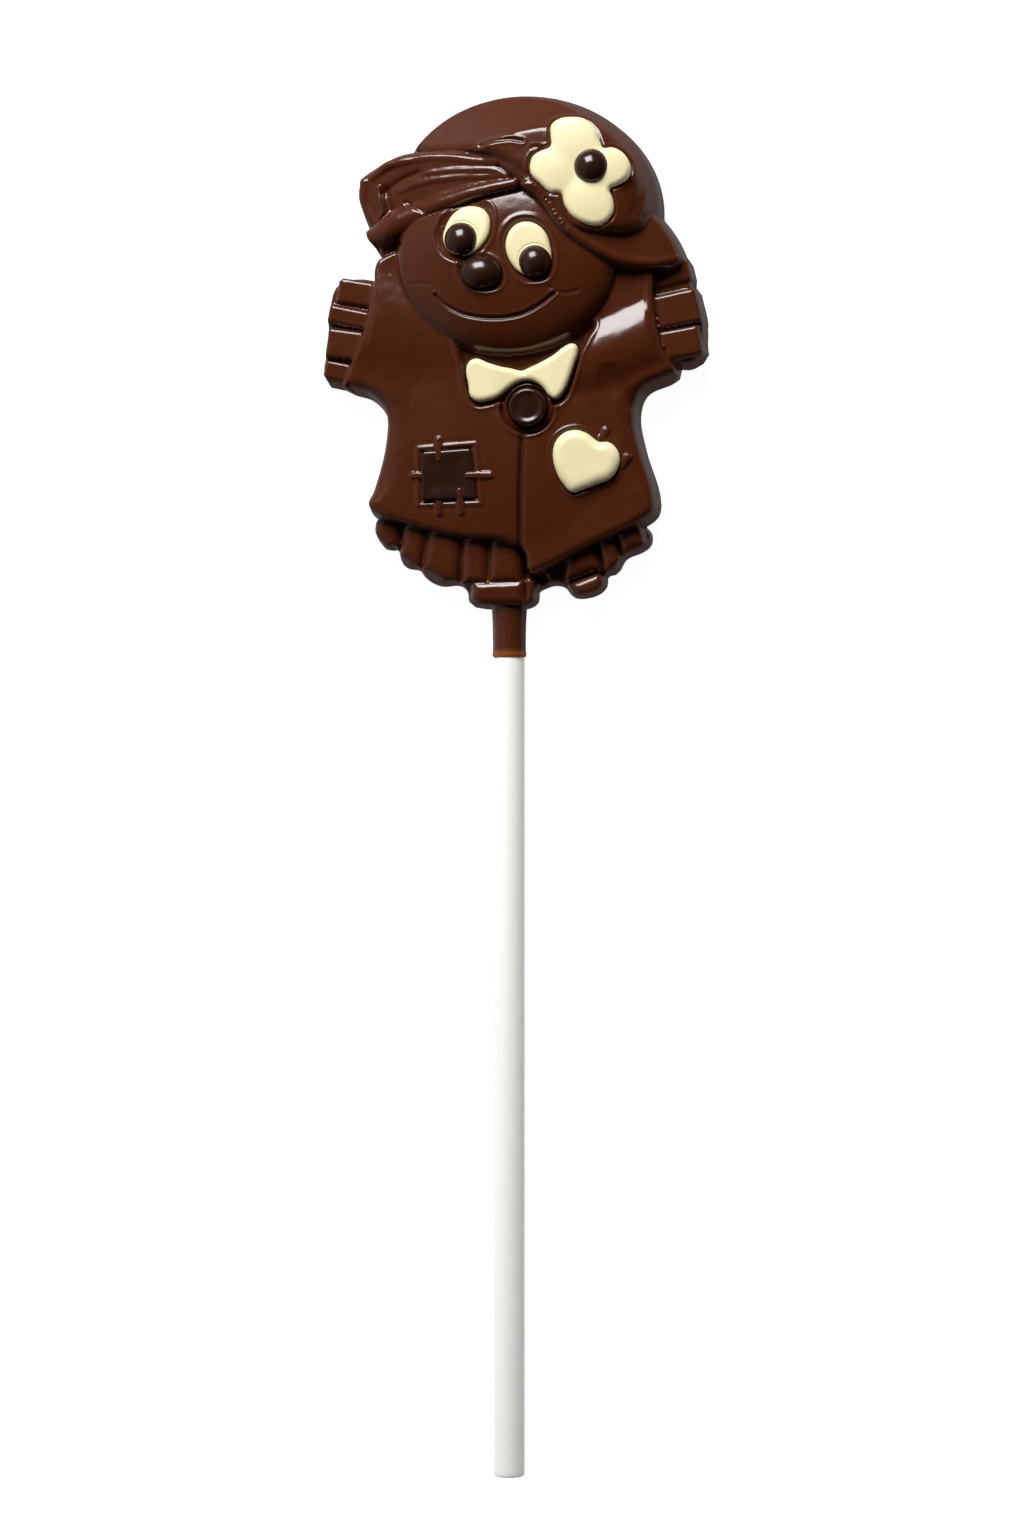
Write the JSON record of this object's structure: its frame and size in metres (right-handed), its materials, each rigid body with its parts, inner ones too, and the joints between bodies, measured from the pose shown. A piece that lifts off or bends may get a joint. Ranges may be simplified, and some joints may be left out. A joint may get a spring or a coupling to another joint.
{
  "type": "scarecrow lollipop",
  "caption": "Moulded chocolate lollipop in the form of a scarecrow with a hat, bow tie and patches, on a round paper stick, lying on its flat back.",
  "frame": {"origin": "on the flat back of the figure, straight behind the stick's axis line at the middle of the figure", "axes": "+Y along the stick towards the hat, +Z out of the shown front, +X to the right of a viewer who looks at the front"},
  "size_m": [0.0581, 0.2032, 0.0146],
  "materials": {
    "milk_chocolate": "tempered milk chocolate, moulded, satin gloss",
    "white_chocolate": "tempered white chocolate, moulded, satin gloss",
    "dark_chocolate": "tempered dark chocolate, moulded, satin gloss",
    "paper": "rolled white paper, matte"
  },
  "bodies": {
    "root": {"figure": "milk_chocolate", "stick": "paper", "flower": "white_chocolate", "flower_centre": "dark_chocolate", "eye_white_left": "white_chocolate", "eye_white_right": "white_chocolate", "pupil_left": "dark_chocolate", "pupil_right": "dark_chocolate", "nose": "dark_chocolate", "bow_tie": "white_chocolate", "button": "dark_chocolate", "patch": "dark_chocolate", "heart": "white_chocolate"}
  },
  "joints": []
}
